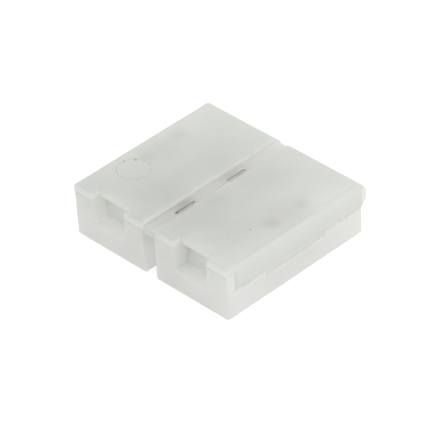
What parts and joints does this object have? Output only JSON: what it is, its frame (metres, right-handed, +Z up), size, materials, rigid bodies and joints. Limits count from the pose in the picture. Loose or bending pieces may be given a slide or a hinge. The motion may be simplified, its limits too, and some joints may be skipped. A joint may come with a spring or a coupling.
{
  "type": "led strip connector",
  "caption": "Solderless connector that joins two LED strips end to end: a low plastic base, two latched clamp covers on living hinges, and spring contacts",
  "frame": {"origin": "middle of the base's underside, on the surface the connector rests on", "axes": "X along the LED strips, from the left one to the right one; Y across them, from the latches to the hinges; Z up, out of the covers"},
  "size_m": [0.0156, 0.0141, 0.0044],
  "materials": {
    "plastic": "satin translucent milky white moulding",
    "contact_metal": "tinned spring metal"
  },
  "bodies": {
    "base": {"base": "plastic", "contact_front": "contact_metal", "contact_back": "contact_metal"},
    "lid_left": {"lid_left": "plastic"},
    "lid_right": {"lid_right": "plastic"}
  },
  "joints": [
    {"name": "lid_left_hinge", "type": "hinge", "parent": "base", "child": "lid_left", "pos_m": [-0.00416, 0.00686, 0.00384], "axis": [-1, 0, 0], "range_deg": [0, 110]},
    {"name": "lid_right_hinge", "type": "hinge", "parent": "base", "child": "lid_right", "pos_m": [0.00416, 0.00686, 0.00384], "axis": [-1, 0, 0], "range_deg": [0, 110]}
  ]
}
